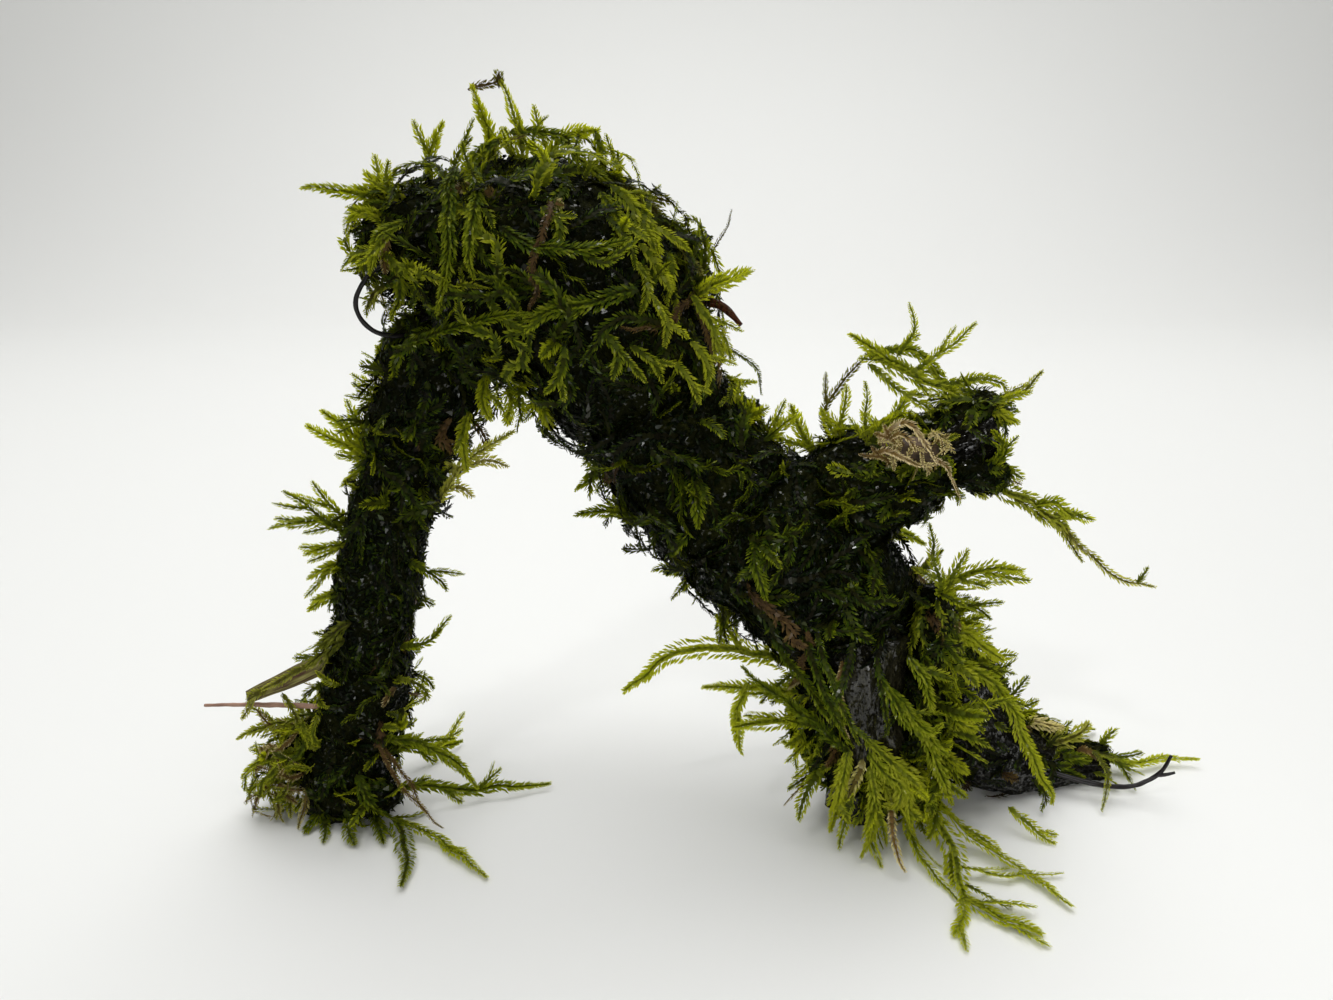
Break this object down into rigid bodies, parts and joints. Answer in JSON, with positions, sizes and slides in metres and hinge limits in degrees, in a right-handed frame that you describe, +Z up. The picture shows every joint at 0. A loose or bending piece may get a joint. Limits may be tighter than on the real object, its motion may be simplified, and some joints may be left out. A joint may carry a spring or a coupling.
{
  "type": "java moss on driftwood",
  "caption": "Arched piece of dark driftwood on spreading feet, overgrown with thick clumps and loose feathery shoots of java moss, for an aquarium.",
  "frame": {"origin": "on the ground under the middle of the whole piece, moss shoots included", "axes": "+X along the arch from the slim leg to the branch side, +Y to the back, +Z up"},
  "size_m": [0.1551, 0.0548, 0.1035],
  "materials": {
    "driftwood": "wet, dark",
    "moss": "leafy, damp",
    "dead_moss": "dry, straw-coloured",
    "root": "wet, near black",
    "dead_leaf": "damp, brown"
  },
  "bodies": {
    "root": {"driftwood_trunk": "driftwood", "driftwood_left_leg": "driftwood", "driftwood_branch": "driftwood", "driftwood_front_foot": "driftwood", "driftwood_rear_foot": "driftwood", "moss_crown": "moss", "moss_leg_upper": "moss", "moss_leg_lower": "moss", "moss_left_foot": "moss", "moss_trunk_upper": "moss", "moss_trunk_lower": "moss", "moss_branch": "moss", "moss_branch_end": "moss", "moss_foot_spray_left": "moss", "moss_foot_spray_right": "moss", "moss_foot_front": "moss", "moss_rear_foot": "moss", "dead_moss_tuft": "dead_moss", "root_loop": "root", "root_twig": "root", "bark_splinter": "driftwood", "dry_stalk": "dead_leaf", "dead_leaf_strip": "dead_leaf"}
  },
  "joints": []
}
